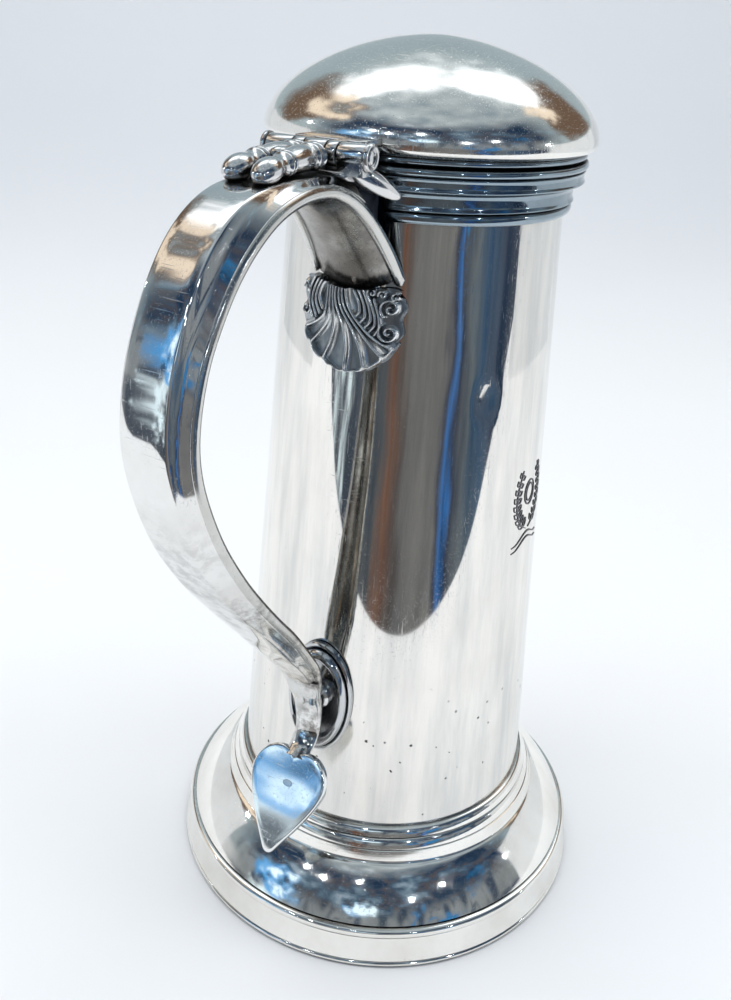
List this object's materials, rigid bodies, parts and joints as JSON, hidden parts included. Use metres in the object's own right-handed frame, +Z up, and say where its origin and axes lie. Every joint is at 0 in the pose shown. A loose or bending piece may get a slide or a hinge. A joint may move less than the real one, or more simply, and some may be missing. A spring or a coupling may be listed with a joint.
{
  "type": "tankard",
  "caption": "Tall tapered tankard on a flared domed foot, with a hinged dome lid, hollow scroll strap handle, cast shell mount and heart-shaped handle end.",
  "frame": {"origin": "centre of the foot's resting plane, on the vessel's axis", "axes": "+Z up along the vessel's axis, +X from the axis towards the handle, Y along the lid's hinge pin"},
  "size_m": [0.2072, 0.154, 0.2885],
  "materials": {
    "bright_pewter": "polished, with fine scratches and dark tarnish in the grooves",
    "worn_pewter": "duller polish with grey-brown tarnish",
    "dark_pewter": "cast metal, dark in its recesses"
  },
  "bodies": {
    "vessel": {"foot_edge_ring": "worn_pewter", "foot_skirt": "bright_pewter", "foot_lower_bead": "bright_pewter", "foot_dome": "bright_pewter", "foot_second_bead": "bright_pewter", "foot_upper_bead": "bright_pewter", "body_barrel": "bright_pewter", "body_floor": "worn_pewter", "rim_bead": "bright_pewter", "rim_band_lower": "bright_pewter", "rim_band_upper": "bright_pewter", "lip_ring": "bright_pewter", "hinge_bracket": "worn_pewter", "hinge_pin": "dark_pewter", "hinge_cap_left": "worn_pewter", "hinge_cap_right": "worn_pewter", "handle_strap": "bright_pewter", "handle_liner": "worn_pewter", "handle_bead_left": "bright_pewter", "handle_bead_right": "bright_pewter", "handle_root": "worn_pewter", "volute_stem": "worn_pewter", "volute_left": "bright_pewter", "volute_right": "bright_pewter", "handle_tail": "bright_pewter", "heart_terminal": "bright_pewter", "lower_joint_post": "dark_pewter", "boss_plate": "worn_pewter", "boss_ring": "bright_pewter", "shell_mount": "dark_pewter"},
    "lid": {"lid_dome": "bright_pewter", "lid_flange": "worn_pewter", "lid_bezel": "worn_pewter", "lid_hinge_leaf": "worn_pewter"}
  },
  "joints": [
    {"name": "lid_hinge", "type": "hinge", "parent": "vessel", "child": "lid", "pos_m": [0.0625, 0, 0.2618], "axis": [0, 1, 0], "range_deg": [0, 105]}
  ]
}
